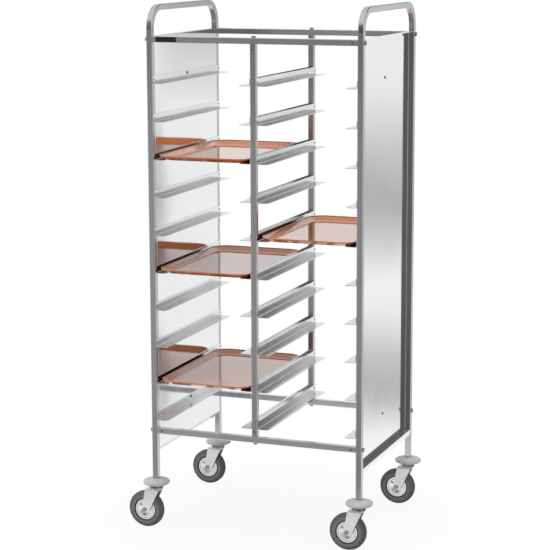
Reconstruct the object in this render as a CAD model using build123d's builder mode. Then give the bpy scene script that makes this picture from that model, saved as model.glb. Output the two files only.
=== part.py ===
"""Tray trolley: two bays of ten runner levels in a square-tube frame on four swivel castors.

Millimetres. +X to the right, +Y to the rear, +Z up. The origin is on the floor, in the
middle of the footprint: the castors all trail to the left, so the frame's own middle
stands frame_x to the right of it.
"""

import os
from math import atan2, degrees, hypot

from build123d import *

# Trays, which set the size of the bays
tray_width = 325.0
tray_length = 530.0
tray_height = 16.0
tray_sheet = 3.0
tray_flare = 24.0
tray_lip = 4.0
tray_corner = 52.0
tray_cove = 6.0
tray_lift = 0.3
tray_overhang = 19.0
tray_shift = 4.0
tray_side_gap = 6.0
left_tray_levels = (3, 6, 9)
right_tray_levels = (5,)

# Square tube of the whole frame
tube = 20.0
tube_wall = 1.5
tube_corner = 2.5
handle_bend = 80.0

# Runners, folded from sheet
level_count = 10
level_pitch = 125.0
runner_sheet = 1.5
runner_shelf = 40.0
runner_upstand = 25.0
runner_bend = 2.5
runner_corner = 5.0
runner_setback = 1.0

# Heights above the feet of the legs, and depth of the frame
bottom_bar_rise = 184.7
lowest_shelf_rise = 28.0
headroom = 152.0
handle_rise = 100.0
depth_allowance = 35.0

# Side panels
panel_sheet = 1.0
panel_flange = 19.0
panel_rise = 108.7
panel_lip = 18.0
panel_bend = 1.5
panel_gap = 0.3

# Fasteners
bolt_diameter = 8.0
bolt_head_across = 13.0
bolt_head_height = 5.3
bolt_grip = 20.0
plug_length = 40.0
plug_fit = 0.05
hole_fit = 0.1
screw_diameter = 4.0
screw_head_diameter = 8.0
screw_head_height = 2.0
plug_screw_inset = 17.0
screw_depth = 3.5
rivet_diameter = 4.0
rivet_head_diameter = 9.0
rivet_head_height = 2.0
rivet_rise = 16.0

# Castors, from the floor up
wheel_diameter = 125.0
castor_trail = 37.0
tyre_width = 32.0
tyre_flat = 10.0
tyre_shoulder_bulge = 3.0
tyre_wall = 7.5
tyre_groove = 3.5
tyre_groove_slope = 0.8
tyre_groove_depth = 4.0
rim_diameter = 70.0
rim_width = 27.0
rim_ring = 3.5
rim_groove = 4.5
rim_groove_slope = 1.5
rim_groove_depth = 3.5
rim_shoulder = 3.0
rim_shoulder_rise = 1.0
rim_dish = 3.0
hub_diameter = 20.0
hub_width = 37.0
grease_hole_diameter = 10.0
grease_hole_depth = 10.0
grease_hole_radius = 22.0
grease_hole_angle = 136.0
axle_diameter = 8.0
axle_head_across = 13.0
axle_head_height = 5.5
axle_nut_height = 7.0
axle_end = 2.5
bush_diameter = 12.0
running_fit = 0.05
fork_gap = 38.0
fork_sheet = 2.5
fork_end_radius = 10.0
fork_end_spread = 10.0
fork_crown_back = 34.0
fork_cheek_front = 15.0
fork_bend = 4.0
crown_clearance = 8.5
race_diameter = 42.0
race_height = 1.5
swivel_gap = 0.3
ball_ring_inner = 28.0
ball_ring_outer = 38.0
ball_ring_height = 2.0
king_pin_diameter = 16.0
king_pin_flare = 24.0
king_pin_flare_height = 3.0
head_diameter = 46.0
head_height = 3.0
neck_diameter = 36.0
neck_height = 4.5
stem_diameter = 12.0
stem_length = 40.0
foot_plug_length = 45.0

# Bumpers
bumper_diameter = 90.0
bumper_height = 26.0
bumper_top_diameter = 42.0
bumper_foot_diameter = 40.0
bumper_rim_height = 14.0
bumper_rim_step = 6.0
bumper_socket = 8.0
bumper_fit = 0.3

# Places worked out from the sizes above
bay = tray_width + 2 * (tray_side_gap + runner_sheet)
frame_width = 2 * bay + 3 * tube
frame_depth = tray_length + depth_allowance
frame_x = (castor_trail + wheel_diameter / 2 - bumper_diameter / 2) / 2
leg_offset_x = (frame_width - tube) / 2
leg_offset_y = (frame_depth - tube) / 2
bay_offset_x = (bay + tube) / 2
tube_inside = tube - 2 * tube_wall
tube_inside_corner = tube_corner - tube_wall
plug_side = tube_inside - 2 * plug_fit

axle_z = wheel_diameter / 2
crown_underside = wheel_diameter + crown_clearance
crown_top = crown_underside + fork_sheet
race_top = crown_top + race_height
head_underside = race_top + swivel_gap + ball_ring_height
neck_foot = head_underside + head_height
bumper_underside = neck_foot + neck_height
bumper_top = bumper_underside + bumper_height
leg_foot = bumper_top - bumper_socket

bottom_bar_top = leg_foot + bottom_bar_rise
panel_bottom = leg_foot + panel_rise
lowest_shelf = bottom_bar_top + lowest_shelf_rise
highest_shelf = lowest_shelf + (level_count - 1) * level_pitch
top_bar_top = highest_shelf + headroom
overall_height = top_bar_top + handle_rise
top_bar_z = top_bar_top - tube / 2
bottom_bar_z = bottom_bar_top - tube / 2

left, right = -1, 1
front, rear = -1, 1
side_names = {left: "left", right: "right"}
end_names = {front: "front", rear: "rear"}
corners = [(end, side) for end in (front, rear) for side in (left, right)]


def shelf_z(level):
    """Height of the shelf of a runner, counting levels from the top."""
    return highest_shelf - (level - 1) * level_pitch


def leg_x(side):
    """Middle of a leg, left or right."""
    return frame_x + side * leg_offset_x


def castor_names(kind, end, side):
    """Name of one castor piece at a corner of the trolley."""
    return f"{kind}_{end_names[end]}_{side_names[side]}"


def hexagon(across_flats):
    """Hexagon by its size across the flats."""
    RegularPolygon(radius=across_flats / 2, side_count=6, major_radius=False)


def square_tube_section():
    """Rounded square ring, the section of every tube in the frame."""
    RectangleRounded(tube, tube, tube_corner)
    RectangleRounded(tube_inside, tube_inside, tube_inside_corner, mode=Mode.SUBTRACT)


def save(piece, name):
    """Label a finished piece and write it under its name."""
    piece.label = name
    export_step(piece, f"parts/{name}.step")


# Frame

def make_side_frame(side):
    """One tube bent over the top: two legs and the push handle, cross-drilled for the bar bolts."""
    x = leg_x(side)
    middle = Plane.YZ.offset(x)
    handle_z = overall_height - tube / 2
    with BuildPart() as side_frame:
        with BuildLine(middle) as bent_path:
            FilletPolyline(
                (-leg_offset_y, leg_foot),
                (-leg_offset_y, handle_z),
                (leg_offset_y, handle_z),
                (leg_offset_y, leg_foot),
                radius=handle_bend - tube / 2,
            )
        with BuildSketch(Plane(origin=(x, -leg_offset_y, leg_foot))):
            square_tube_section()
        sweep(path=bent_path.line)
        with BuildSketch(middle):
            with Locations(
                (-leg_offset_y, top_bar_z),
                (leg_offset_y, top_bar_z),
                (-leg_offset_y, bottom_bar_z),
                (leg_offset_y, bottom_bar_z),
            ):
                Circle((bolt_diameter + hole_fit) / 2)
        extrude(amount=tube, both=True, mode=Mode.SUBTRACT)
    return side_frame.part


def make_crossbar(end, bar_z):
    """Straight tube between the side frames, drilled for the upright bolt and the plug screws."""
    bar_length = frame_width - 2 * tube
    bar_y = end * leg_offset_y
    with BuildPart() as crossbar:
        with BuildSketch(Plane.YZ.offset(frame_x)):
            with Locations((bar_y, bar_z)):
                square_tube_section()
        extrude(amount=bar_length / 2, both=True)
        with BuildSketch(Plane.XY.offset(bar_z)):
            with Locations((frame_x, bar_y)):
                Circle((bolt_diameter + hole_fit) / 2)
        extrude(amount=tube, both=True, mode=Mode.SUBTRACT)
        with BuildSketch(Plane.XZ.offset(-bar_y)):
            with Locations(*[(x, bar_z) for x in plug_screw_places()]):
                Circle((screw_diameter + hole_fit) / 2)
        extrude(amount=-end * tube, mode=Mode.SUBTRACT)
    return crossbar.part


def plug_screw_places():
    """Places of the two plug screws along a crossbar."""
    reach = frame_width / 2 - tube - plug_screw_inset
    return [frame_x - reach, frame_x + reach]


def upright_screw_heights():
    """Heights of the two plug screws of a centre upright."""
    return [bottom_bar_top + plug_screw_inset, top_bar_top - tube - plug_screw_inset]


def make_centre_upright(end):
    """Straight tube between the bottom and the top crossbar, drilled for its plug screws."""
    with BuildPart() as upright:
        with BuildSketch(Plane.XY.offset(bottom_bar_top)):
            with Locations((frame_x, end * leg_offset_y)):
                square_tube_section()
        extrude(amount=top_bar_top - tube - bottom_bar_top)
        with BuildSketch(Plane.XZ.offset(-end * leg_offset_y)):
            with Locations(*[(frame_x, z) for z in upright_screw_heights()]):
                Circle((screw_diameter + hole_fit) / 2)
        extrude(amount=-end * tube, mode=Mode.SUBTRACT)
    return upright.part


def make_bar_plugs():
    """Square plugs in the ends of the crossbars, bored for the bar bolt and drilled for its screw."""
    inside = frame_width / 2 - tube
    with BuildPart() as plugs:
        for bar_z in (top_bar_z, bottom_bar_z):
            for end in (front, rear):
                for side in (left, right):
                    mouth = Plane(
                        origin=(frame_x + side * inside, end * leg_offset_y, bar_z),
                        x_dir=(0, 1, 0),
                        z_dir=(-side, 0, 0),
                    )
                    with BuildSketch(mouth):
                        RectangleRounded(plug_side, plug_side, tube_inside_corner)
                        Circle((bolt_diameter + hole_fit) / 2, mode=Mode.SUBTRACT)
                    extrude(amount=plug_length)
        for end in (front, rear):
            with BuildSketch(Plane.XZ.offset(-end * leg_offset_y)):
                with Locations(
                    *[(x, z) for x in plug_screw_places() for z in (top_bar_z, bottom_bar_z)]
                ):
                    Circle((screw_diameter + hole_fit) / 2)
            extrude(amount=-end * tube, mode=Mode.SUBTRACT)
    return plugs.part


def make_upright_plugs():
    """Square plugs in both ends of the centre uprights, bored for the upright bolt and its screw."""
    with BuildPart() as plugs:
        for end in (front, rear):
            for foot, way in ((bottom_bar_top, 1), (top_bar_top - tube, -1)):
                with BuildSketch(Plane.XY.offset(foot)):
                    with Locations((frame_x, end * leg_offset_y)):
                        RectangleRounded(plug_side, plug_side, tube_inside_corner)
                        Circle((bolt_diameter + hole_fit) / 2, mode=Mode.SUBTRACT)
                extrude(amount=way * plug_length)
            with BuildSketch(Plane.XZ.offset(-end * leg_offset_y)):
                with Locations(*[(frame_x, z) for z in upright_screw_heights()]):
                    Circle((screw_diameter + hole_fit) / 2)
            extrude(amount=-end * tube, mode=Mode.SUBTRACT)
    return plugs.part


def make_bar_bolts():
    """Hexagon bolts through the legs into the crossbar plugs."""
    with BuildPart() as bolts:
        for bar_z in (top_bar_z, bottom_bar_z):
            for end, side in corners:
                seat = Plane(
                    origin=(frame_x + side * frame_width / 2, end * leg_offset_y, bar_z),
                    x_dir=(0, 1, 0),
                    z_dir=(side, 0, 0),
                )
                with BuildSketch(seat):
                    hexagon(bolt_head_across)
                extrude(amount=bolt_head_height)
                with BuildSketch(seat):
                    Circle(bolt_diameter / 2)
                extrude(amount=-(tube + bolt_grip))
    return bolts.part


def make_upright_bolts():
    """Hexagon bolts down and up through the crossbars into the centre uprights."""
    with BuildPart() as bolts:
        for end in (front, rear):
            for seat_z, way in ((top_bar_top, 1), (bottom_bar_top - tube, -1)):
                seat = Plane(
                    origin=(frame_x, end * leg_offset_y, seat_z),
                    x_dir=(1, 0, 0),
                    z_dir=(0, 0, way),
                )
                with BuildSketch(seat):
                    hexagon(bolt_head_across)
                extrude(amount=bolt_head_height)
                with BuildSketch(seat):
                    Circle(bolt_diameter / 2)
                extrude(amount=-(tube + bolt_grip))
    return bolts.part


def make_plug_screws():
    """Small pan-head screws on the outer faces of the crossbars and centre uprights."""
    places = [(x, z) for z in (top_bar_z, bottom_bar_z) for x in plug_screw_places()]
    places += [(frame_x, z) for z in upright_screw_heights()]
    with BuildPart() as screws:
        for end in (front, rear):
            for x, z in places:
                seat = Plane(
                    origin=(x, end * frame_depth / 2, z),
                    x_dir=(1, 0, 0),
                    z_dir=(0, end, 0),
                )
                with BuildSketch(seat):
                    Circle(screw_head_diameter / 2)
                extrude(amount=screw_head_height)
                with BuildSketch(seat):
                    Circle(screw_diameter / 2)
                extrude(amount=-(tube_wall + screw_depth))
    return screws.part


# Runners and panels

def make_runners(wall_x, way, riveted_levels):
    """Ten L-folded runners on one pair of uprights: upstand, bend and shelf, with two corners cut off."""
    runner_length = frame_depth - 2 * runner_setback
    inner_x = wall_x + way * runner_sheet
    bend_x = wall_x + way * (runner_sheet + runner_bend)
    tip_x = wall_x + way * runner_shelf
    with BuildPart() as runners:
        for level in range(1, level_count + 1):
            shelf = shelf_z(level)
            underside = shelf - runner_sheet
            bend_top = shelf + runner_bend
            upstand_top = underside + runner_upstand
            with BuildSketch(Plane.XZ):
                with BuildLine():
                    Polyline(
                        (bend_x, underside),
                        (tip_x, underside),
                        (tip_x, shelf),
                        (bend_x, shelf),
                    )
                    RadiusArc((bend_x, shelf), (inner_x, bend_top), way * runner_bend)
                    Polyline(
                        (inner_x, bend_top),
                        (inner_x, upstand_top),
                        (wall_x, upstand_top),
                        (wall_x, bend_top),
                    )
                    outer_bend = runner_bend + runner_sheet
                    RadiusArc((wall_x, bend_top), (bend_x, underside), -way * outer_bend)
                make_face()
            extrude(amount=runner_length / 2, both=True)
        free_edges = runners.edges().filter_by(Axis.Z).group_by(Axis.X)
        chamfer(free_edges[-1 if way > 0 else 0], length=runner_corner)
        if riveted_levels:
            with BuildSketch(Plane.YZ.offset(wall_x)):
                with Locations(*[(0, shelf_z(level) + rivet_rise) for level in riveted_levels]):
                    Circle((rivet_diameter + hole_fit) / 2)
            extrude(amount=2 * runner_sheet, both=True, mode=Mode.SUBTRACT)
    return runners.part


def make_side_panel(side):
    """Bright sheet between the uprights with flanges turned out all round and a lip at the foot."""
    wall_x = frame_x + side * (frame_width / 2 - tube)
    panel_length = frame_depth - 2 * (tube + panel_gap)
    panel_height = top_bar_top - panel_bottom
    outward = Plane(
        origin=(wall_x, 0, panel_bottom + panel_height / 2),
        x_dir=(0, 1, 0),
        z_dir=(side, 0, 0),
    )
    with BuildPart() as panel:
        with BuildSketch(outward):
            Rectangle(panel_length, panel_height)
        extrude(amount=panel_flange)
        face_edges = panel.faces().sort_by(Axis.X)[0 if side > 0 else -1].edges()
        fillet(face_edges, radius=panel_bend)
        outer_face = panel.faces().filter_by(Axis.X).sort_by(Axis.X)[-1 if side > 0 else 0]
        offset(amount=-panel_sheet, openings=outer_face)
        lip_middle = wall_x + side * (panel_flange - panel_sheet / 2)
        with BuildSketch(Plane.XY.offset(panel_bottom + panel_sheet)):
            with Locations((lip_middle, 0)):
                Rectangle(panel_sheet, panel_length)
        extrude(amount=-(panel_sheet + panel_lip))
        with BuildSketch(Plane.YZ.offset(wall_x)):
            with Locations(*[(0, shelf_z(level) + rivet_rise) for level in (1, level_count)]):
                Circle((rivet_diameter + hole_fit) / 2)
        extrude(amount=panel_flange / 2, both=True, mode=Mode.SUBTRACT)
    return panel.part


def make_panel_rivets():
    """Rivets that tie the side panels to the outer runners of the top and bottom levels."""
    with BuildPart() as rivets:
        for side in (left, right):
            wall_x = frame_x + side * (frame_width / 2 - tube)
            for level in (1, level_count):
                height = shelf_z(level) + rivet_rise
                outside = Plane(
                    origin=(wall_x + side * panel_sheet, 0, height),
                    x_dir=(0, 1, 0),
                    z_dir=(side, 0, 0),
                )
                inside = Plane(
                    origin=(wall_x - side * runner_sheet, 0, height),
                    x_dir=(0, 1, 0),
                    z_dir=(-side, 0, 0),
                )
                for seat in (outside, inside):
                    with BuildSketch(seat):
                        Circle(rivet_head_diameter / 2)
                    extrude(amount=rivet_head_height)
                with BuildSketch(outside):
                    Circle(rivet_diameter / 2)
                extrude(amount=-(panel_sheet + runner_sheet))
    return rivets.part


# Trays

def make_tray(bay_side, level):
    """Self-service tray: flat base, coved and flared rim with a short upright lip, round corners."""
    middle = (
        frame_x + bay_side * bay_offset_x + tray_shift,
        (tray_length - frame_depth) / 2 - tray_overhang,
    )
    base_z = shelf_z(level) + tray_lift
    base_width = tray_width - 2 * tray_flare
    base_length = tray_length - 2 * tray_flare
    base_corner = tray_corner - tray_flare
    slope_height = tray_height - tray_lip
    slope_length = hypot(tray_flare, slope_height)
    flare_angle = degrees(atan2(tray_flare, slope_height))
    floor_inset = tray_sheet * (slope_length - tray_flare) / slope_height
    inner_rise = (tray_flare - tray_sheet + floor_inset) * slope_height / tray_flare
    with BuildPart() as tray:
        with BuildSketch(Plane.XY.offset(base_z)):
            with Locations(middle):
                RectangleRounded(base_width, base_length, base_corner)
        extrude(amount=slope_height, taper=-flare_angle)
        with BuildSketch(Plane.XY.offset(base_z + slope_height)):
            with Locations(middle):
                RectangleRounded(tray_width, tray_length, tray_corner)
        extrude(amount=tray_lip)
        with BuildSketch(Plane.XY.offset(base_z + tray_sheet)):
            with Locations(middle):
                RectangleRounded(
                    base_width - 2 * floor_inset,
                    base_length - 2 * floor_inset,
                    base_corner - floor_inset,
                )
        extrude(amount=inner_rise, taper=-flare_angle, mode=Mode.SUBTRACT)
        with BuildSketch(Plane.XY.offset(base_z + tray_sheet + inner_rise)):
            with Locations(middle):
                RectangleRounded(
                    tray_width - 2 * tray_sheet,
                    tray_length - 2 * tray_sheet,
                    tray_corner - tray_sheet,
                )
        extrude(amount=tray_height, mode=Mode.SUBTRACT)
        level_faces = tray.faces().filter_by(Axis.Z).sort_by(Axis.Z)
        fillet(level_faces[1].edges(), radius=tray_cove)
        level_faces = tray.faces().filter_by(Axis.Z).sort_by(Axis.Z)
        fillet(level_faces[0].edges(), radius=tray_cove + tray_sheet)
    return tray.part


# Castors

def swivel_plane(end, side):
    """Upright plane through the swivel axis of one castor."""
    return Plane(origin=(leg_x(side), end * leg_offset_y, 0), x_dir=(1, 0, 0), z_dir=(0, -1, 0))


def swivel_axis(end, side):
    """Swivel axis of one castor."""
    return Axis((leg_x(side), end * leg_offset_y, 0), (0, 0, 1))


def wheel_plane(end, side):
    """Plane through the middle of one wheel, its normal along the axle to the front."""
    axle = (leg_x(side) - castor_trail, end * leg_offset_y, axle_z)
    return Plane(origin=axle, x_dir=(1, 0, 0), z_dir=(0, -1, 0))


def make_castor_head(end, side):
    """Stem, neck, swivel plate and riveted king pin, turned as one piece."""
    with BuildPart() as head:
        with BuildSketch(swivel_plane(end, side)):
            with BuildLine():
                Polyline(
                    (0, crown_underside - swivel_gap - king_pin_flare_height),
                    (king_pin_flare / 2, crown_underside - swivel_gap - king_pin_flare_height),
                    (king_pin_flare / 2, crown_underside - swivel_gap),
                    (king_pin_diameter / 2, crown_underside - swivel_gap),
                    (king_pin_diameter / 2, head_underside),
                    (head_diameter / 2, head_underside),
                    (head_diameter / 2, neck_foot),
                    (neck_diameter / 2, neck_foot),
                    (neck_diameter / 2, bumper_underside),
                    (stem_diameter / 2, bumper_underside),
                    (stem_diameter / 2, leg_foot + stem_length),
                    (0, leg_foot + stem_length),
                    close=True,
                )
            make_face()
        revolve(axis=swivel_axis(end, side))
    return head.part


def make_ball_ring(end, side):
    """Ring of the swivel's balls, under the swivel plate."""
    with BuildPart() as ring:
        with BuildSketch(Plane.XY.offset(head_underside)):
            with Locations((leg_x(side), end * leg_offset_y)):
                Circle(ball_ring_outer / 2)
                Circle(ball_ring_inner / 2, mode=Mode.SUBTRACT)
        extrude(amount=-ball_ring_height)
    return ring.part


def make_fork(end, side):
    """Pressed fork: a folded channel with tapering cheeks, a round-nosed crown and its race."""
    width = fork_gap + 2 * fork_sheet
    crown_length = fork_cheek_front + fork_crown_back
    crown_middle = (fork_cheek_front - fork_crown_back) / 2
    with BuildPart() as fork:
        with BuildSketch(swivel_plane(end, side)):
            with Locations(
                (-castor_trail, axle_z),
                (-castor_trail + fork_end_spread, axle_z + fork_end_spread / 2),
            ):
                Circle(fork_end_radius)
            with Locations((crown_middle, crown_top - fork_sheet / 2)):
                Rectangle(crown_length, fork_sheet)
            make_hull()
        extrude(amount=width / 2, both=True)
        crown_edges = fork.faces().sort_by(Axis.Z)[-1].edges().filter_by(Axis.X)
        fillet(crown_edges, radius=fork_bend)
        with BuildSketch(Plane.XY.offset(crown_underside)):
            with Locations((leg_x(side), end * leg_offset_y)):
                Rectangle(2 * wheel_diameter, fork_gap)
        extrude(amount=-wheel_diameter, mode=Mode.SUBTRACT)
        with BuildSketch(Plane.XY.offset(crown_underside)):
            with Locations((leg_x(side), end * leg_offset_y)):
                Circle(fork_gap / 2)
        extrude(amount=fork_sheet)
        with BuildSketch(Plane.XY.offset(crown_top)):
            with Locations((leg_x(side), end * leg_offset_y)):
                Circle(race_diameter / 2)
        extrude(amount=race_height)
        with BuildSketch(Plane.XY.offset(crown_underside)):
            with Locations((leg_x(side), end * leg_offset_y)):
                Circle(king_pin_diameter / 2 + running_fit)
        extrude(amount=race_top - crown_underside, mode=Mode.SUBTRACT)
        with BuildSketch(wheel_plane(end, side)):
            Circle((axle_diameter + hole_fit) / 2)
        extrude(amount=width, both=True, mode=Mode.SUBTRACT)
    return fork.part


def make_axle(end, side):
    """Axle bolt with its head to the front, and its nut as a second solid."""
    cheek = fork_gap / 2 + fork_sheet
    seat = wheel_plane(end, side).offset(cheek)
    nut_seat = wheel_plane(end, side).offset(-cheek)
    with BuildPart() as axle:
        with BuildSketch(seat):
            hexagon(axle_head_across)
        extrude(amount=axle_head_height)
        with BuildSketch(seat):
            Circle(axle_diameter / 2)
        extrude(amount=-(2 * cheek + axle_nut_height + axle_end))
        with BuildSketch(nut_seat):
            hexagon(axle_head_across)
            Circle((axle_diameter + hole_fit) / 2, mode=Mode.SUBTRACT)
        extrude(amount=-axle_nut_height)
    return axle.part


def make_axle_bush(end, side):
    """Plain bush on the axle, clamped between the fork's cheeks, on which the wheel turns."""
    with BuildPart() as bush:
        with BuildSketch(wheel_plane(end, side)):
            Circle(bush_diameter / 2)
            Circle((axle_diameter + hole_fit) / 2, mode=Mode.SUBTRACT)
        extrude(amount=fork_gap / 2, both=True)
    return bush.part


def make_rim(end, side):
    """Pressed steel rim: hub, dished web, round groove and edge ring, with a greasing hole."""
    plane = wheel_plane(end, side)
    section = Plane(origin=plane.origin, x_dir=(1, 0, 0), z_dir=(0, 0, 1))
    bore = bush_diameter / 2 + running_fit
    edge = rim_diameter / 2
    half = rim_width / 2
    ring_inside = edge - rim_ring
    shoulder_edge = ring_inside - rim_groove
    groove_floor = half - rim_groove_depth
    with BuildPart() as rim:
        with BuildSketch(section):
            with BuildLine():
                Polyline(
                    (bore, 0),
                    (bore, hub_width / 2),
                    (hub_diameter / 2, hub_width / 2),
                    (hub_diameter / 2, half - rim_dish),
                    (shoulder_edge - rim_shoulder, half + rim_shoulder_rise),
                    (shoulder_edge, half + rim_shoulder_rise),
                    (shoulder_edge + rim_groove_slope, groove_floor),
                    (ring_inside - rim_groove_slope, groove_floor),
                    (ring_inside, half),
                    (edge, half),
                    (edge, 0),
                    close=True,
                )
            make_face()
            mirror(about=Plane.XZ)
        revolve(axis=Axis(plane.origin, (0, 1, 0)))
        with BuildSketch(plane.offset(hub_width / 2)):
            with PolarLocations(grease_hole_radius, 1, start_angle=grease_hole_angle):
                Circle(grease_hole_diameter / 2)
        extrude(amount=half - hub_width / 2 - grease_hole_depth, mode=Mode.SUBTRACT)
    return rim.part


def make_tyre(end, side):
    """Solid rubber tyre with round shoulders, flat walls and a groove beside the rim."""
    plane = wheel_plane(end, side)
    section = Plane(origin=plane.origin, x_dir=(1, 0, 0), z_dir=(0, 0, 1))
    seat = rim_diameter / 2 + plug_fit
    tread = wheel_diameter / 2
    half = tyre_width / 2
    flat = tyre_flat / 2
    wall_inside = seat + tyre_groove
    wall_outside = wall_inside + tyre_wall
    groove_floor = half - tyre_groove_depth
    with BuildPart() as tyre:
        with BuildSketch(section):
            with BuildLine():
                Line((tread, 0), (tread, flat))
                SagittaArc((tread, flat), (wall_outside, half), -tyre_shoulder_bulge)
                Polyline(
                    (wall_outside, half),
                    (wall_inside, half),
                    (wall_inside - tyre_groove_slope, groove_floor),
                    (seat, groove_floor),
                    (seat, 0),
                    (tread, 0),
                )
            make_face()
            mirror(about=Plane.XZ)
        revolve(axis=Axis(plane.origin, (0, 1, 0)))
    return tyre.part


def make_bumper(end, side):
    """Round buffer under the leg: sloping top and foot, round rim, and a square socket for the tube."""
    rim_radius = bumper_diameter / 2
    rim_low = bumper_underside + bumper_rim_step
    rim_high = rim_low + bumper_rim_height
    shoulder = rim_radius - bumper_rim_height / 2
    bore = stem_diameter / 2 + plug_fit
    with BuildPart() as bumper:
        with BuildSketch(swivel_plane(end, side)):
            with BuildLine():
                Polyline(
                    (shoulder, rim_high),
                    (bumper_top_diameter / 2, bumper_top),
                    (bore, bumper_top),
                    (bore, bumper_underside),
                    (bumper_foot_diameter / 2, bumper_underside),
                    (shoulder, rim_low),
                )
                ThreePointArc(
                    (shoulder, rim_low),
                    (rim_radius, (rim_low + rim_high) / 2),
                    (shoulder, rim_high),
                )
            make_face()
        revolve(axis=swivel_axis(end, side))
        with BuildSketch(Plane.XY.offset(bumper_top)):
            with Locations((leg_x(side), end * leg_offset_y)):
                Rectangle(tube + 2 * bumper_fit, tube + 2 * bumper_fit)
        extrude(amount=-bumper_socket, mode=Mode.SUBTRACT)
    return bumper.part


def make_foot_plugs():
    """Square plugs in the feet of the legs, bored for the castor stems."""
    with BuildPart() as plugs:
        with BuildSketch(Plane.XY.offset(leg_foot)):
            with Locations(*[(leg_x(side), end * leg_offset_y) for end, side in corners]):
                RectangleRounded(plug_side, plug_side, tube_inside_corner)
                Circle(stem_diameter / 2 + plug_fit, mode=Mode.SUBTRACT)
        extrude(amount=foot_plug_length)
    return plugs.part


# Write every piece

os.makedirs("parts", exist_ok=True)

for side in (left, right):
    save(make_side_frame(side), f"side_frame_{side_names[side]}")
    save(make_side_panel(side), f"side_panel_{side_names[side]}")

for end in (front, rear):
    save(make_crossbar(end, top_bar_z), f"top_bar_{end_names[end]}")
    save(make_crossbar(end, bottom_bar_z), f"bottom_bar_{end_names[end]}")
    save(make_centre_upright(end), f"centre_upright_{end_names[end]}")

outer_wall = frame_width / 2 - tube
save(make_runners(frame_x - outer_wall, 1, (1, level_count)), "runners_left")
save(make_runners(frame_x - tube / 2, -1, ()), "runners_centre_left")
save(make_runners(frame_x + tube / 2, 1, ()), "runners_centre_right")
save(make_runners(frame_x + outer_wall, -1, (1, level_count)), "runners_right")

save(make_bar_plugs(), "bar_plugs")
save(make_upright_plugs(), "upright_plugs")
save(make_foot_plugs(), "foot_plugs")
save(make_bar_bolts(), "bar_bolts")
save(make_upright_bolts(), "upright_bolts")
save(make_plug_screws(), "plug_screws")
save(make_panel_rivets(), "panel_rivets")

for level in left_tray_levels:
    save(make_tray(left, level), f"tray_left_{level}")
for level in right_tray_levels:
    save(make_tray(right, level), f"tray_right_{level}")

for end, side in corners:
    save(make_bumper(end, side), castor_names("bumper", end, side))
    save(make_castor_head(end, side), castor_names("castor_head", end, side))
    save(make_ball_ring(end, side), castor_names("ball_ring", end, side))
    save(make_fork(end, side), castor_names("fork", end, side))
    save(make_axle(end, side), castor_names("axle", end, side))
    save(make_axle_bush(end, side), castor_names("axle_bush", end, side))
    save(make_rim(end, side), castor_names("rim", end, side))
    save(make_tyre(end, side), castor_names("tyre", end, side))
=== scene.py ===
"""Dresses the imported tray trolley: finishes of its solids, rivets, a bare plate and the studio."""

import math

import bmesh
import bpy
from bpy.props import FloatProperty, FloatVectorProperty, IntProperty, PointerProperty
from mathutils import Matrix, Vector


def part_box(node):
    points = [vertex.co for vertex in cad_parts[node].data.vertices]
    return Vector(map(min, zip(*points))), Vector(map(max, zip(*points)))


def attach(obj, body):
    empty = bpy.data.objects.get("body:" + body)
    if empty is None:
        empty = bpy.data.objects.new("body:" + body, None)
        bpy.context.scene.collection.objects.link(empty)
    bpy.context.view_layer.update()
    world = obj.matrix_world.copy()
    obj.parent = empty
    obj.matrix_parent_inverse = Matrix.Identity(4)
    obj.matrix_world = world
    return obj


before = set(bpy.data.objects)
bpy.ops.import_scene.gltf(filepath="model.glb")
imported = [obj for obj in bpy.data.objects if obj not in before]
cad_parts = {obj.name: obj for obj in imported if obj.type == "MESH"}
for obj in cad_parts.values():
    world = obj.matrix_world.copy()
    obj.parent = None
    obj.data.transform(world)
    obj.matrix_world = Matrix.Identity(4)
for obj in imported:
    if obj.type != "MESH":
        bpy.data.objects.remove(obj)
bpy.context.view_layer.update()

bl_info = {
    "name": "Tray Trolley",
    "version": (1, 0, 0),
    "blender": (4, 5, 0),
    "location": "View3D > Sidebar > Trolley",
    "description": "Finishes, rivets, plate and studio of a two-bay tray trolley",
    "category": "Object",
}

SIDES = ("left", "right")
ENDS = ("front", "rear")
CORNERS = [f"{end}_{side}" for end in ENDS for side in SIDES]
RUNNERS = ("runners_left", "runners_centre_left", "runners_centre_right", "runners_right")
TRAYS = [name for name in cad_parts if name.startswith("tray_")]
LEVELS = 10

# Sizes in metres; a rivet's crown is its flat top's radius as a share of the head's diameter
RUNNER_SHEET = 0.0015
RUNNER_HEIGHT = 0.025
RIVET_CROWN = 0.3
PLATE_BEVEL = 0.0004
# Half width of the painted shade line at the panels' fold
FOLD_SHADE_HALF_WIDTH = 0.002
TYRE_RADII = (0.035, 0.0625)

# Fixed looks; a ring is a share of the way from rim to tread and the strength of the painted light
# and shade there
# Painted light: the bars take a brighter copy of the tube colour, standing in for the light the
# brushed bars pick up
BAR_PAINTED_LIGHT_GAIN = 1.25
FORK_METAL = 0.5
FINE_DEPTH = 0.0004
CLOUD_RANGE = (0.3, 0.7)
# Colour of the painted shade line at the panels' fold, where the bend and the gap under it fall dark
FOLD_SHADE_COLOUR = (0.12, 0.12, 0.125, 1.0)
DUST_COLOUR = (0.55, 0.54, 0.52, 1.0)
PLUG_COLOUR = (0.03, 0.03, 0.032)
TYRE_SHADE_RINGS = (
    (0.0, 0.5), (0.14, 0.55), (0.22, 1.6), (0.42, 1.7), (0.55, 1.1), (0.75, 0.85), (1.0, 0.7))

# Floor and card of the studio; a fade is pairs of a place on the card and the grey there
FLOOR_SIDES = 96
FLOOR_FADE = (0.5, 0.78)
FLOOR_WHITE = (0.93, 1.0)
GROUND_GREY = 0.55
CARD_WIDTH = 0.7
CARD_X = 0.78
CARD_FOOT = -0.6
CARD_FADE = ((0.60, 0.95), (0.665, 0.78), (0.78, 0.58))

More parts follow.
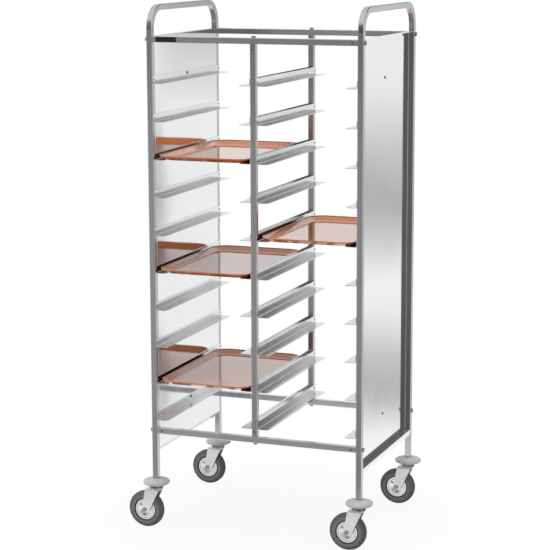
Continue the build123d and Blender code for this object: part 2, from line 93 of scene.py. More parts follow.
# What the metal mirrors, by the direction it looks in: reaches along X, Y and Z, and pairs of a
# height within the reach and the grey there
REAR_DEPTH = (0.0, 0.45)
REAR_RISE = (-0.35, 0.35)
REAR_LEVELS = (
    (0.0, 1.0), (0.12, 1.0), (0.16, 0.50), (0.232, 0.97), (0.30, 0.48), (0.40, 0.92), (0.5, 0.88),
    (0.62, 0.82), (1.0, 0.82))
CORNER_X = (0.0, 0.25)
CORNER_RISE = (0.0, 0.1)
CORNER_GREY = 0.14
ROOM_RISE = (-0.4, 0.8)
ROOM_X = (-0.25, 0.25)
MIDDLE_X = (0.25, 0.1)
WALL_X = (0.41, 0.54)
CEILING = (0.86, 0.95)
LEFT_LEVELS = ((0.0, 0.22), (0.18, 0.42), (0.25, 0.42), (0.31, 0.06), (0.74, 0.07), CEILING)
RIGHT_LEVELS = ((0.0, 0.05), (0.18, 0.115), (0.55, 0.09), (0.64, 0.6), (0.74, 0.6), CEILING)
MIDDLE_LEVELS = ((0.0, 0.22), (0.18, 0.42), (0.33, 0.42), (0.40, 0.6), (0.74, 0.6), CEILING)
WALL_LEVELS = (
    (0.0, 0.80), (0.10, 0.92), (0.17, 0.62), (0.24, 0.88), (0.31, 0.55), (0.45, 0.75), CEILING)

SENSOR_WIDTH = 36.0
CLIP_END = 60.0


def colour_property(name, description, default):
    """Colour of a finish."""
    return FloatVectorProperty(
        name=name, description=description, subtype="COLOR", size=3, min=0.0, max=1.0,
        default=default)


def length_property(name, description, default, **limits):
    """Length in metres."""
    return FloatProperty(
        name=name, description=description, unit="LENGTH", default=default, **limits)


def angle_property(name, description, degrees):
    """Angle, given in degrees."""
    return FloatProperty(
        name=name, description=description, unit="ROTATION", default=math.radians(degrees))


def power_property(name, description, default):
    """Power of a lamp in watts."""
    return FloatProperty(
        name=name, description=description, unit="POWER", default=default, min=0.0)


class TrolleyFinishes(bpy.types.PropertyGroup):
    """Colours of the trolley's materials."""

    tube_colour: colour_property(
        "Tube", "Satin stainless tube of the frame", (0.56, 0.56, 0.57))
    sheet_colour: colour_property(
        "Bright sheet", "Mirror-bright side panels", (0.88, 0.885, 0.89))
    runner_colour: colour_property(
        "Runner sheet", "Folded runners", (0.84, 0.845, 0.855))
    zinc_colour: colour_property(
        "Zinc", "Plated steel of the castors", (0.83, 0.84, 0.855))
    fastener_colour: colour_property(
        "Fasteners", "Bolts, screws and rivets", (0.30, 0.30, 0.31))
    tray_colour: colour_property(
        "Tray", "Glossy brown laminate", (0.62, 0.18, 0.04))
    bumper_colour: colour_property(
        "Bumper", "Grey buffers over the castors", (0.54, 0.55, 0.56))
    tyre_colour: colour_property(
        "Tyre", "Dark grey rubber", (0.12, 0.12, 0.125))
    plate_colour: colour_property(
        "Plate", "Bare black plate on the front top bar", (0.012, 0.012, 0.013))


class TrolleyDetails(bpy.types.PropertyGroup):
    """Sizes of the small pieces that are added to the solids."""

    rivet_diameter: length_property(
        "Rivet head", "Diameter of a runner rivet's head", 0.0075, min=0.003, max=0.012)
    rivet_height: length_property(
        "Rivet height", "How far a runner rivet's head stands out", 0.0014, min=0.0005, max=0.003)
    rivet_rise: length_property(
        "Rivet rise", "Height of a rivet above the shelf", 0.012, min=0.006, max=0.018)
    rivet_segments: IntProperty(
        name="Rivet segments", description="Sides of a rivet's head", default=12, min=8, max=24)
    panel_fold: length_property(
        "Panel fold", "Height of the fold at the foot of the side panels", 0.2745, min=0.0)
    plate_length: length_property(
        "Plate length", "Length of the bare plate", 0.071, min=0.03, max=0.1)
    plate_height: length_property(
        "Plate height", "Height of the bare plate", 0.0165, min=0.01, max=0.019)
    plate_thickness: length_property(
        "Plate thickness", "Thickness of the bare plate", 0.0024, min=0.0005, max=0.003)
    plate_setback: length_property(
        "Plate setback", "Gap between the leg and the plate", 0.014, min=0.0, max=0.05)


class TrolleyStage(bpy.types.PropertyGroup):
    """Camera, floor, backdrop and lamps of the studio."""

    camera_azimuth: angle_property("Azimuth", "Camera's turn to the right of the front", 20.88)
    camera_elevation: angle_property("Elevation", "Camera's height angle", 10.33)
    camera_roll: angle_property("Roll", "Camera's turn about its own axis", -0.17)
    camera_distance: length_property(
        "Distance", "From the camera to the point it looks at", 6.362, min=1.0)
    camera_target: FloatVectorProperty(
        name="Target", description="Point that the camera looks at",
        subtype="TRANSLATION", unit="LENGTH", size=3, default=(-0.00645, 0.0, 0.842))
    camera_lens: FloatProperty(
        name="Lens", description="Focal length in millimetres on a 36 mm sensor",
        default=123.0, min=20.0)
    floor_radius: length_property("Floor radius", "Radius of the pale floor", 0.8, min=0.7)
    backdrop_distance: length_property(
        "Backdrop", "From the trolley's middle back to the white backdrop", 3.0, min=0.8)
    backdrop_height: length_property(
        "Backdrop height", "Height of the white backdrop", 2.8, min=1.0)
    key_power: power_property("Key lamp", "Power of the large soft lamp in front", 55.0)
    top_power: power_property("Top lamp", "Power of the soft lamp overhead", 60.0)


def grey(level):
    """Opaque grey."""
    return (level, level, level, 1.0)


def make_node(tree, kind, values=None, **settings):
    """New shader node with its settings and the values of its inputs."""
    node = tree.nodes.new(kind)
    for name, value in settings.items():
        setattr(node, name, value)
    for name, value in (values or {}).items():
        node.inputs[name].default_value = value
    return node


def wired(tree, kind, sources, values=None, **settings):
    """New shader node with its inputs linked; gives its first output in use, if it has one."""
    node = make_node(tree, kind, values, **settings)
    for name, source in sources.items():
        tree.links.new(source, node.inputs[name])
    return next((socket for socket in node.outputs if not socket.is_unavailable), None)


def combine(tree, operation, first, second):
    """Result of an operation on two values."""
    return wired(tree, "ShaderNodeMath", {0: first, 1: second}, operation=operation)


def centred(tree, mask):
    """Mask from 0 to 1, moved to lie about 0."""
    return wired(tree, "ShaderNodeMath", {0: mask}, {1: 0.5}, operation="SUBTRACT")


def magnitude(tree, value):
    """Value without its sign."""
    return wired(tree, "ShaderNodeMath", {0: value}, operation="ABSOLUTE")


def raised(tree, base, mask, gain):
    """Value that a mask adds to."""
    return wired(tree, "ShaderNodeMath", {0: mask, 2: base}, {1: gain}, operation="MULTIPLY_ADD")


def level_range(tree, change, low, high, start=-0.5, end=0.5, smooth=False):
    """Value between two limits that follows a mask."""
    return wired(
        tree, "ShaderNodeMapRange", {"Value": change},
        {"From Min": start, "From Max": end, "To Min": low, "To Max": high},
        interpolation_type="SMOOTHSTEP" if smooth else "LINEAR")


def span(tree, change, reach, smooth=False):
    """Share of the way from one end of a reach to the other."""
    return level_range(tree, change, 0.0, 1.0, *reach, smooth)


def tone(tree, colour, change, low, high):
    """Colour that varies between two strengths of itself with a mask."""
    strength = level_range(tree, change, low, high)
    return wired(
        tree, "ShaderNodeVectorMath", {"Scale": strength}, {0: tuple(colour)}, operation="SCALE")


def mix(tree, share, first, second):
    """Mix of a colour and another one, which is a socket or a fixed colour."""
    node = make_node(tree, "ShaderNodeMix", data_type="RGBA")
    tree.links.new(share, node.inputs["Factor"])
    tree.links.new(first, node.inputs["A"])
    if isinstance(second, bpy.types.NodeSocket):
        tree.links.new(second, node.inputs["B"])
    else:
        node.inputs["B"].default_value = second
    return node.outputs["Result"]


def grey_ramp(tree, place, levels, interpolation="LINEAR"):
    """Greys along a ramp, from pairs of a place and the grey there."""
    node = make_node(tree, "ShaderNodeValToRGB")
    node.color_ramp.interpolation = interpolation
    stops = node.color_ramp.elements
    stops[0].position, stops[1].position = levels[0][0], levels[-1][0]
    for where, _ in levels[1:-1]:
        stops.new(where)
    for stop, (_, level) in zip(stops, levels):
        stop.color = grey(level)
    tree.links.new(place, node.inputs["Fac"])
    return node.outputs["Color"]


def coordinates(tree):
    """Texture coordinates by name."""
    return make_node(tree, "ShaderNodeTexCoord").outputs


def axes(tree, vector):
    """X, Y and Z of a vector by name."""
    return wired(tree, "ShaderNodeSeparateXYZ", {0: vector}).node.outputs


def noise(tree, place, scale, detail, roughness=0.5):
    """Cloudy mask."""
    return wired(
        tree, "ShaderNodeTexNoise", {"Vector": place},
        {"Scale": scale, "Detail": detail, "Roughness": roughness})


def make_group(name, inputs, outputs):
    """New shader node group with named sockets; gives its tree, input node and output node."""
    tree = bpy.data.node_groups.new(name, "ShaderNodeTree")
    for socket, kind, value in inputs:
        item = tree.interface.new_socket(name=socket, in_out="INPUT", socket_type=kind)
        item.default_value = value
    for socket, kind in outputs:
        tree.interface.new_socket(name=socket, in_out="OUTPUT", socket_type=kind)
    return tree, tree.nodes.new("NodeGroupInput"), tree.nodes.new("NodeGroupOutput")


def brushed_grain_group():
    """Fine lines along one direction: a mask of light and dark strokes, and a cloudy one."""
    tree, ins, outs = make_group(
        "Brushed grain",
        [("Stretch", "NodeSocketVector", (1.0, 1.0, 1.0)), ("Contrast", "NodeSocketFloat", 1.0)],
        [("Strokes", "NodeSocketFloat"), ("Cloud", "NodeSocketFloat")])
    place = coordinates(tree)["Object"]
    stretched = wired(
        tree, "ShaderNodeVectorMath", {0: place, 1: ins.outputs["Stretch"]}, operation="MULTIPLY")
    strokes = centred(tree, noise(tree, stretched, 1.0, 3.0, 0.6))
    strokes = combine(tree, "MULTIPLY", strokes, ins.outputs["Contrast"])
    tree.links.new(strokes, outs.inputs["Strokes"])
    tree.links.new(noise(tree, place, 7.0, 2.0), outs.inputs["Cloud"])
    return tree


def scuff_group():
    """Thin stray scratches and rubbed spots: a mask from 0 to 1."""
    tree, ins, outs = make_group(
        "Scuffs",
        [("Scale", "NodeSocketFloat", 60.0), ("Amount", "NodeSocketFloat", 0.5)],
        [("Mask", "NodeSocketFloat")])
    place = coordinates(tree)["Object"]
    wander = noise(tree, place, 9.0, 2.0).node.outputs["Color"]
    bent = wired(
        tree, "ShaderNodeVectorMath", {0: wander, 2: place}, {1: (0.05, 0.05, 0.05)},
        operation="MULTIPLY_ADD")
    cells = wired(
        tree, "ShaderNodeTexVoronoi", {"Vector": bent, "Scale": ins.outputs["Scale"]},
        feature="DISTANCE_TO_EDGE")
    thin = level_range(tree, cells, 1.0, 0.0, 0.0, 0.03)
    patch = span(tree, noise(tree, place, 14.0, 3.0), (0.5, 0.68))
    mask = combine(tree, "MULTIPLY", thin, patch)
    mask = combine(tree, "MULTIPLY", mask, ins.outputs["Amount"])
    tree.links.new(mask, outs.inputs["Mask"])
    return tree


def dust_group():
    """Thin dust that gathers on faces that look up: a mask from 0 to 1."""
    tree, ins, outs = make_group(
        "Dust", [("Amount", "NodeSocketFloat", 0.3)], [("Mask", "NodeSocketFloat")])
    surface = make_node(tree, "ShaderNodeNewGeometry")
    upward = span(tree, axes(tree, surface.outputs["Normal"])["Z"], (0.2, 1.0))
    specks = noise(tree, coordinates(tree)["Object"], 90.0, 5.0, 0.7)
    mask = combine(tree, "MULTIPLY", upward, span(tree, specks, (0.42, 0.75)))
    mask = combine(tree, "MULTIPLY", mask, ins.outputs["Amount"])
    tree.links.new(mask, outs.inputs["Mask"])
    return tree


def place_group(tree, name, builder, values):
    """Outputs of a node group placed in a material, built the first time it is asked for."""
    group = bpy.data.node_groups.get(name) or builder()
    return make_node(tree, "ShaderNodeGroup", values, node_tree=group).outputs


def place_grain(tree, stretch):
    """Strokes and cloud of brushed metal."""
    return place_group(tree, "Brushed grain", brushed_grain_group, {"Stretch": stretch})


def place_scuffs(tree, scale, amount):
    """Mask of scratches."""
    return place_group(tree, "Scuffs", scuff_group, {"Scale": scale, "Amount": amount})["Mask"]


def place_dust(tree, amount):
    """Mask of dust."""
    return place_group(tree, "Dust", dust_group, {"Amount": amount})["Mask"]


def new_material(name):
    """New node material; gives it with its tree and its shader."""
    material = bpy.data.materials.new(name)
    material.use_nodes = True
    tree = material.node_tree
    return material, tree, tree.nodes["Principled BSDF"]


def dress(tree, shader, colour, roughness):
    """Link a shader's colour and roughness."""
    tree.links.new(colour, shader.inputs["Base Color"])
    tree.links.new(roughness, shader.inputs["Roughness"])


def raise_surface(tree, shader, height, strength, distance):
    """Bump from a mask."""
    bump = wired(
        tree, "ShaderNodeBump", {"Height": height}, {"Strength": strength, "Distance": distance})
    tree.links.new(bump, shader.inputs["Normal"])


def brushed_metal(name, colour, stretch, roughness, tone_span, bump):
    """Stainless steel with strokes along one direction, cloudy sheen and stray scuffs."""
    material, tree, shader = new_material(name)
    grain = place_grain(tree, stretch)
    shade = tone(tree, colour, grain["Strokes"], 1.0 - tone_span, 1.0 + tone_span)
    rough = level_range(tree, grain["Cloud"], *roughness, *CLOUD_RANGE)
    dress(tree, shader, shade, raised(tree, rough, place_scuffs(tree, 45.0, 0.35), 0.12))
    shader.inputs["Metallic"].default_value = 1.0
    raise_surface(tree, shader, grain["Strokes"], bump, FINE_DEPTH)
    return material


def bright_sheet(name, colour, foot):
    """Mirror-bright sheet: slow waves, upright strokes, smears and a painted dark line of shade at
    the fold.
    """
    material, tree, shader = new_material(name)
    grain = place_grain(tree, (400.0, 400.0, 6.0))
    places = coordinates(tree)
    # Painted shade: a thin dark band on the upright faces at the fold's height
    fold = wired(
        tree, "ShaderNodeMath", {0: axes(tree, places["Object"])["Z"]},
        {1: foot, 2: FOLD_SHADE_HALF_WIDTH}, operation="COMPARE")
    upright = magnitude(tree, axes(tree, places["Normal"])["X"])
    shade = tone(tree, colour, grain["Strokes"], 0.97, 1.03)
    shade = mix(tree, combine(tree, "MULTIPLY", fold, upright), shade, FOLD_SHADE_COLOUR)
    rough = level_range(tree, grain["Cloud"], 0.05, 0.11, *CLOUD_RANGE)
    dress(tree, shader, shade, raised(tree, rough, place_scuffs(tree, 22.0, 0.25), 0.1))
    shader.inputs["Metallic"].default_value = 1.0
    raise_surface(tree, shader, noise(tree, places["Object"], 3.0, 1.0), 0.12, 0.01)
    return material


def plated_steel(name, colour, roughness, metal=1.0):
    """Zinc-plated pressing: fine spangle, cloudy sheen and dust."""
    material, tree, shader = new_material(name)
    grain = place_grain(tree, (120.0, 120.0, 120.0))
    spangle = wired(
        tree, "ShaderNodeTexVoronoi", {"Vector": coordinates(tree)["Object"]}, {"Scale": 260.0})
    shade = tone(tree, colour, centred(tree, spangle), 0.9, 1.06)
    rough = level_range(tree, grain["Cloud"], *roughness, *CLOUD_RANGE)
    dress(tree, shader, shade, raised(tree, rough, place_dust(tree, 0.3), 0.3))
    shader.inputs["Metallic"].default_value = metal
    raise_surface(tree, shader, grain["Strokes"], 0.08, FINE_DEPTH)
    return material


def laminate(name, colour):
    """Glossy brown tray laminate: fibres pressed under a clear skin, with fine rubbed scratches."""
    material, tree, shader = new_material(name)
    fibres = noise(tree, coordinates(tree)["Object"], 180.0, 4.0, 0.65)
    shade = tone(tree, colour, centred(tree, fibres), 0.75, 1.25)
    rough = level_range(tree, place_scuffs(tree, 30.0, 0.5), 0.10, 0.32, 0.0, 1.0)
    dress(tree, shader, shade, rough)
    shader.inputs["Coat Weight"].default_value = 1.0
    shader.inputs["Coat Roughness"].default_value = 0.05
    raise_surface(tree, shader, fibres, 0.02, 0.0003)
    return material


def paint_ring_shade(tree, shade, place, axle):
    """Painted light and shade in rings round an axle that lies along Y: a dark groove by the rim, a
    bright band on the wall and a darker tread.
    """
    spoke = wired(tree, "ShaderNodeVectorMath", {0: place}, {1: axle}, operation="SUBTRACT")
    flat = wired(
        tree, "ShaderNodeVectorMath", {0: spoke}, {1: (1.0, 0.0, 1.0)}, operation="MULTIPLY")
    reach = wired(tree, "ShaderNodeVectorMath", {0: flat}, operation="LENGTH")
    rings = grey_ramp(tree, span(tree, reach, TYRE_RADII), TYRE_SHADE_RINGS)
    return wired(tree, "ShaderNodeVectorMath", {0: shade, "Scale": rings}, operation="SCALE")


def moulded(name, colour, roughness, grain_scale, bump, dust_amount, axle=None):
    """Moulded plastic or rubber: fine grain, uneven sheen, dust on top, and painted light and shade
    in rings round an axle.
    """
    material, tree, shader = new_material(name)
    place = coordinates(tree)["Object"]
    grain = noise(tree, place, grain_scale, 4.0, 0.6)
    uneven = centred(tree, grain)
    shade = tone(tree, colour, uneven, 0.82, 1.18)
    if axle is not None:
        # Painted light and shade on the tyres: a dark groove, a bright band and a darker tread
        shade = paint_ring_shade(tree, shade, place, axle)
    shade = mix(tree, place_dust(tree, dust_amount), shade, DUST_COLOUR)
    dress(tree, shader, shade, level_range(tree, uneven, *roughness, -0.25, 0.25))
    raise_surface(tree, shader, grain, bump, FINE_DEPTH)
    return material


def finish_nodes(names, material):
    """Give solids of the frame a finish."""
    for name in names:
        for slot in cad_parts[name].material_slots:
            slot.material = material


def new_object(name, mesh_builder, material):
    """New object in the scene from a bmesh, with its finish."""
    mesh = bpy.data.meshes.new(name)
    shape = bmesh.new()
    mesh_builder(shape)
    shape.to_mesh(mesh)
    shape.free()
    mesh.materials.append(material)
    piece = bpy.data.objects.new(name, mesh)
    bpy.context.scene.collection.objects.link(piece)
    return piece


def add_piece(name, mesh_builder, body, material):
    """New object that rides on a body, with its finish."""
    piece = new_object(name, mesh_builder, material)
    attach(piece, body)


class TROLLEY_OT_finish_tubes(bpy.types.Operator):
    """Satin strokes along the tubes of the frame, with painted light on the bars"""

    bl_idname = "trolley.finish_tubes"
    bl_label = "Finish Tubes"

    def execute(self, context):
        colour = context.scene.trolley_finishes.tube_colour
        # Painted light: the bars get a brighter copy of the same tube colour than the uprights
        painted_lighter = [min(1.0, BAR_PAINTED_LIGHT_GAIN * part) for part in colour]
        sheen, contrast, bump = (0.16, 0.24), 0.10, 0.05
        upright = brushed_metal(
            "satin_tube_upright", colour, (520.0, 520.0, 5.0), sheen, contrast, bump)
        bar = brushed_metal("satin_tube_bar_painted_light", painted_lighter, (5.0, 520.0, 520.0), sheen, contrast, bump)
        finish_nodes([f"side_frame_{side}" for side in SIDES], upright)
        finish_nodes([f"centre_upright_{end}" for end in ENDS], upright)
        finish_nodes([f"{level}_bar_{end}" for level in ("top", "bottom") for end in ENDS], bar)
        return {"FINISHED"}


class TROLLEY_OT_finish_runners(bpy.types.Operator):
    """Bright sheet with strokes along the folded runners"""

    bl_idname = "trolley.finish_runners"
    bl_label = "Finish Runners"

    def execute(self, context):
        colour = context.scene.trolley_finishes.runner_colour
        sheet = brushed_metal(
            "runner_sheet", colour, (420.0, 4.0, 420.0), (0.12, 0.2), 0.06, 0.03)
        finish_nodes(RUNNERS, sheet)
        return {"FINISHED"}


class TROLLEY_OT_finish_panels(bpy.types.Operator):
    """Mirror-bright sheet of the side panels, with a painted shade line at the fold"""

    bl_idname = "trolley.finish_panels"
    bl_label = "Finish Panels"

    def execute(self, context):
        foot = context.scene.trolley_details.panel_fold
        sheet = bright_sheet("bright_sheet", context.scene.trolley_finishes.sheet_colour, foot)
        finish_nodes([f"side_panel_{side}" for side in SIDES], sheet)
        return {"FINISHED"}


class TROLLEY_OT_finish_trays(bpy.types.Operator):
    """Glossy brown laminate of the trays"""

    bl_idname = "trolley.finish_trays"
    bl_label = "Finish Trays"

    def execute(self, context):
        finish_nodes(TRAYS, laminate("tray_laminate", context.scene.trolley_finishes.tray_colour))
        return {"FINISHED"}


class TROLLEY_OT_finish_castors(bpy.types.Operator):
    """Plated pressings, rubber tyres and grey bumpers of the castors"""

    bl_idname = "trolley.finish_castors"
    bl_label = "Finish Castors"

    def execute(self, context):
        colours = context.scene.trolley_finishes
        zinc = plated_steel("zinc_pressing", colours.zinc_colour, (0.22, 0.34))
        dull_zinc = plated_steel(
            "dull_zinc_pressing", colours.zinc_colour, (0.22, 0.34), FORK_METAL)
        # Darker steel of the castor heads, ball rings and bushes; on the axles the dark steel is
        # also painted shade, a dark spot where the hub lies in shade
        bearing_and_hub_shade = plated_steel("bearing_steel", colours.fastener_colour, (0.2, 0.3))
        bumper = moulded(
            "bumper_plastic", colours.bumper_colour, (0.42, 0.56), 220.0, 0.06, 0.15)
        for corner in CORNERS:
            axle = sum((Vector(end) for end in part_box(f"tyre_{corner}")), Vector()) / 2
            tyre = moulded(
                f"tyre_rubber_{corner}", colours.tyre_colour, (0.55, 0.75), 140.0, 0.15, 0.25, axle)
            for material, parts in (
                (dull_zinc, ("fork",)),
                (zinc, ("rim",)),
                (bearing_and_hub_shade, ("castor_head", "ball_ring", "axle_bush", "axle")),
                (tyre, ("tyre",)),
                (bumper, ("bumper",)),
            ):
                finish_nodes([f"{part}_{corner}" for part in parts], material)
        return {"FINISHED"}


class TROLLEY_OT_finish_fasteners(bpy.types.Operator):
    """Dull steel of bolts and screws, black plastic of the plugs inside the tubes"""

    bl_idname = "trolley.finish_fasteners"
    bl_label = "Finish Fasteners"

    def execute(self, context):
        colours = context.scene.trolley_finishes
        steel = plated_steel("fastener_steel", colours.fastener_colour, (0.32, 0.45))
        plug = moulded("plug_plastic", PLUG_COLOUR, (0.5, 0.6), 200.0, 0.05, 0.0)
        finish_nodes(("bar_bolts", "upright_bolts", "plug_screws", "panel_rivets"), steel)
        finish_nodes(("bar_plugs", "upright_plugs", "foot_plugs"), plug)
        return {"FINISHED"}


class TROLLEY_OT_add_runner_rivets(bpy.types.Operator):
    """Rivet heads at both ends of every runner, through its upstand into the upright"""

    bl_idname = "trolley.add_runner_rivets"
    bl_label = "Add Runner Rivets"

    def execute(self, context):
        sizes = context.scene.trolley_details
        steel = bpy.data.materials["fastener_steel"]
        ends = [sum(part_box(f"centre_upright_{end}")[i][1] for i in (0, 1)) / 2 for end in ENDS]

        def build(shape):
            for name in RUNNERS:
                low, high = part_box(name)
                way = 1.0 if name in ("runners_left", "runners_centre_right") else -1.0
                wall = low[0] if way > 0 else high[0]
                middle = wall + way * RUNNER_SHEET + way * sizes.rivet_height / 2
                lowest = low[2] + RUNNER_SHEET
                pitch = (high[2] - RUNNER_HEIGHT - low[2]) / (LEVELS - 1)
                turn = Matrix.Rotation(way * math.pi / 2, 4, "Y")
                for level in range(LEVELS):
                    rise = lowest + level * pitch + sizes.rivet_rise
                    for end in ends:
                        bmesh.ops.create_cone(
                            shape, cap_ends=True, segments=sizes.rivet_segments,
                            radius1=sizes.rivet_diameter / 2,
                            radius2=sizes.rivet_diameter * RIVET_CROWN,
                            depth=sizes.rivet_height,
                            matrix=Matrix.Translation((middle, end, rise)) @ turn)

        add_piece("runner_rivets", build, "frame", steel)
        return {"FINISHED"}


class TROLLEY_OT_add_plate(bpy.types.Operator):
    """Bare black plate on the front top bar, beside the left leg"""

    bl_idname = "trolley.add_plate"
    bl_label = "Add Plate"

    def execute(self, context):
        sizes = context.scene.trolley_details
        colour = context.scene.trolley_finishes.plate_colour
        black = moulded("plate_black", colour, (0.2, 0.32), 90.0, 0.03, 0.05)
        low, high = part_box("top_bar_front")

        def build(shape):
            centre = Vector((low[0] + sizes.plate_setback + sizes.plate_length / 2,
                             low[1] - sizes.plate_thickness / 2, (low[2] + high[2]) / 2))
            size = Matrix.Diagonal(
                (sizes.plate_length, sizes.plate_thickness, sizes.plate_height, 1.0))
            bmesh.ops.create_cube(shape, size=1.0, matrix=Matrix.Translation(centre) @ size)
            bmesh.ops.bevel(
                shape, geom=shape.edges[:], offset=PLATE_BEVEL, offset_type="OFFSET", segments=2,
                profile=0.5, affect="EDGES", material=-1)

        add_piece("bare_plate", build, "frame", black)
        return {"FINISHED"}


class TROLLEY_OT_set_stage(bpy.types.Operator):
    """Pale floor, studio light and the camera"""

    bl_idname = "trolley.set_stage"
    bl_label = "Set Stage"

    def execute(self, context):
        stage = context.scene.trolley_stage
        context.scene.view_settings.view_transform = "Standard"
        self.lay_floor(stage)
        self.hang_backdrop(stage)
        self.hang_lamps(stage)
        self.light_world(context.scene)
        self.stand_camera(context.scene, stage)
        return {"FINISHED"}

    def lay_floor(self, stage):
        """Round pale floor that stays white to the eye and keeps a soft shadow."""
        def build(shape):
            bmesh.ops.create_circle(
                shape, cap_ends=True, segments=FLOOR_SIDES, radius=stage.floor_radius)

        material, tree, sockets = self.white_ground("floor_pale")
        reach = wired(
            tree, "ShaderNodeVectorMath", {0: coordinates(tree)["Object"]}, operation="LENGTH")
        edge = level_range(tree, reach, *FLOOR_WHITE, *FLOOR_FADE)
        tree.links.new(edge, sockets["share"])
        floor = new_object("floor", build, material)

    def hang_backdrop(self, stage):
        """White card behind the trolley, greyer towards its top, which the left panel mirrors."""
        def build(shape):
            spread = Matrix.Diagonal((CARD_WIDTH, 1.0, stage.backdrop_height, 1.0))
            place = Matrix.Translation(
                (CARD_X, stage.backdrop_distance, stage.backdrop_height / 2 + CARD_FOOT))
            bmesh.ops.create_grid(
                shape, x_segments=1, y_segments=1, size=0.5,
                matrix=place @ spread @ Matrix.Rotation(math.pi / 2, 4, "X"))

        material, tree, sockets = self.white_ground("backdrop_white")
        card = (CARD_FOOT, stage.backdrop_height + CARD_FOOT)
        height = span(tree, axes(tree, coordinates(tree)["Object"])["Z"], card)
        rays = make_node(tree, "ShaderNodeLightPath").outputs
        fade = grey_ramp(tree, height, CARD_FADE, "EASE")
        tree.links.new(mix(tree, rays["Is Camera Ray"], fade, grey(1.0)), sockets["white"])
        backdrop = new_object("backdrop", build, material)

    def white_ground(self, name):
        """Pale matt finish, white to the eye and the metal; gives it, its tree and its sockets."""
        material = bpy.data.materials.new(name)
        material.use_nodes = True
        tree = material.node_tree
        tree.nodes.clear()
        rays = make_node(tree, "ShaderNodeLightPath").outputs
        seen = combine(tree, "MAXIMUM", rays["Is Camera Ray"], rays["Is Glossy Ray"])
        seen = combine(tree, "MAXIMUM", seen, rays["Is Transmission Ray"])
        share = wired(tree, "ShaderNodeMath", {0: seen}, {1: 1.0}, operation="MULTIPLY")
        matt = make_node(tree, "ShaderNodeBsdfDiffuse", {"Color": grey(GROUND_GREY)})
        white = make_node(tree, "ShaderNodeEmission", {"Color": grey(1.0)})
        both = wired(
            tree, "ShaderNodeMixShader",
            {"Fac": share, 1: matt.outputs[0], 2: white.outputs[0]})
        wired(tree, "ShaderNodeOutputMaterial", {"Surface": both})
        return material, tree, {"white": white.inputs["Color"], "share": share.node.inputs[1]}

    def hang_lamps(self, stage):
        """Large soft lamps in front and overhead."""
        for name, power, size, spot, aim in (
            ("key_lamp", stage.key_power, 2.2, (-2.6, -3.6, 3.2), (0.0, 0.0, 0.9)),
            ("top_lamp", stage.top_power, 2.4, (0.6, 0.4, 4.2), (0.0, 0.0, 0.0)),
        ):
            lamp = bpy.data.lights.new(name, "AREA")
            lamp.energy = power
            lamp.shape = "SQUARE"
            lamp.size = size
            holder = bpy.data.objects.new(name, lamp)
            holder.visible_glossy = False
            holder.location = spot
            look = Vector(aim) - Vector(spot)
            holder.rotation_euler = look.to_track_quat("-Z", "Y").to_euler()
            bpy.context.scene.collection.objects.link(holder)

    def light_world(self, scene):
        """White to the eye; to the metal, bright behind and at the sides, and darker in front."""
        world = bpy.data.worlds.new("studio")
        world.use_nodes = True
        tree = world.node_tree
        tree.nodes.clear()
        way = axes(tree, coordinates(tree)["Generated"])
        aside = magnitude(tree, way["X"])
        rise = span(tree, way["Z"], ROOM_RISE)
        front = grey_ramp(tree, rise, LEFT_LEVELS)
        for place, reach, levels, interpolation in (
            (way["X"], ROOM_X, RIGHT_LEVELS, "LINEAR"),
            (aside, MIDDLE_X, MIDDLE_LEVELS, "LINEAR"),
            (aside, WALL_X, WALL_LEVELS, "EASE"),
        ):
            share = span(tree, place, reach, smooth=True)
            front = mix(tree, share, front, grey_ramp(tree, rise, levels, interpolation))
        corner = combine(
            tree, "MULTIPLY", span(tree, way["X"], CORNER_X), span(tree, way["Z"], CORNER_RISE))
        rear = grey_ramp(tree, span(tree, way["Z"], REAR_RISE), REAR_LEVELS, "EASE")
        rear = mix(tree, corner, rear, grey(CORNER_GREY))
        view = mix(tree, span(tree, way["Y"], REAR_DEPTH, smooth=True), front, rear)
        rays = make_node(tree, "ShaderNodeLightPath").outputs
        seen = combine(tree, "MAXIMUM", rays["Is Camera Ray"], rays["Is Transmission Ray"])
        light = wired(
            tree, "ShaderNodeBackground", {"Color": mix(tree, seen, view, grey(1.0))},
            {"Strength": 1.0})
        wired(tree, "ShaderNodeOutputWorld", {"Surface": light})
        scene.world = world

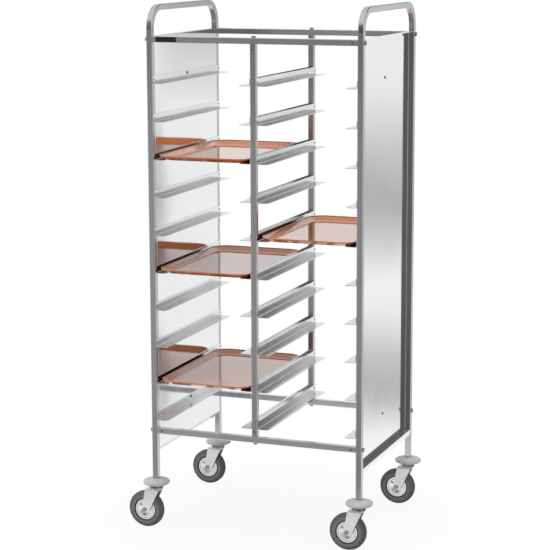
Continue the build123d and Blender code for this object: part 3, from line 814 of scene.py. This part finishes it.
    def stand_camera(self, scene, stage):
        """Camera at the photograph's viewing angle."""
        azimuth, elevation = stage.camera_azimuth, stage.camera_elevation
        back = Vector((math.sin(azimuth) * math.cos(elevation),
                       -math.cos(azimuth) * math.cos(elevation),
                       math.sin(elevation)))
        lens = bpy.data.cameras.new("camera")
        lens.lens = stage.camera_lens
        lens.sensor_width = SENSOR_WIDTH
        lens.clip_end = CLIP_END
        camera = bpy.data.objects.new("camera", lens)
        camera.location = Vector(stage.camera_target) + back * stage.camera_distance
        aim = back.to_track_quat("Z", "Y").to_matrix()
        camera.rotation_euler = (aim @ Matrix.Rotation(stage.camera_roll, 3, "Z")).to_euler()
        scene.collection.objects.link(camera)
        scene.camera = camera


class TROLLEY_PT_panel(bpy.types.Panel):
    """Lists the trolley's steps and settings"""

    bl_idname = "TROLLEY_PT_panel"
    bl_label = "Tray Trolley"
    bl_space_type = "VIEW_3D"
    bl_region_type = "UI"
    bl_category = "Trolley"

    def draw(self, context):
        scene = context.scene
        for step in STEPS:
            self.layout.operator(step.bl_idname)
        for group in (scene.trolley_finishes, scene.trolley_details, scene.trolley_stage):
            box = self.layout.box()
            for name in group.__annotations__:
                box.prop(group, name)


STEPS = (
    TROLLEY_OT_finish_tubes,
    TROLLEY_OT_finish_runners,
    TROLLEY_OT_finish_panels,
    TROLLEY_OT_finish_trays,
    TROLLEY_OT_finish_castors,
    TROLLEY_OT_finish_fasteners,
    TROLLEY_OT_add_runner_rivets,
    TROLLEY_OT_add_plate,
    TROLLEY_OT_set_stage,
)
CLASSES = (TrolleyFinishes, TrolleyDetails, TrolleyStage, *STEPS, TROLLEY_PT_panel)


def register():
    """Add the trolley's classes and settings."""
    for cls in CLASSES:
        bpy.utils.register_class(cls)
    bpy.types.Scene.trolley_finishes = PointerProperty(type=TrolleyFinishes)
    bpy.types.Scene.trolley_details = PointerProperty(type=TrolleyDetails)
    bpy.types.Scene.trolley_stage = PointerProperty(type=TrolleyStage)


def unregister():
    """Take the trolley's classes and settings away."""
    del bpy.types.Scene.trolley_stage
    del bpy.types.Scene.trolley_details
    del bpy.types.Scene.trolley_finishes
    for cls in reversed(CLASSES):
        bpy.utils.unregister_class(cls)


def main():
    """Run every step in order."""
    register()
    bpy.ops.trolley.finish_tubes()
    bpy.ops.trolley.finish_runners()
    bpy.ops.trolley.finish_panels()
    bpy.ops.trolley.finish_trays()
    bpy.ops.trolley.finish_castors()
    bpy.ops.trolley.finish_fasteners()
    bpy.ops.trolley.add_runner_rivets()
    bpy.ops.trolley.add_plate()
    bpy.ops.trolley.set_stage()


if __name__ == "__main__":
    main()
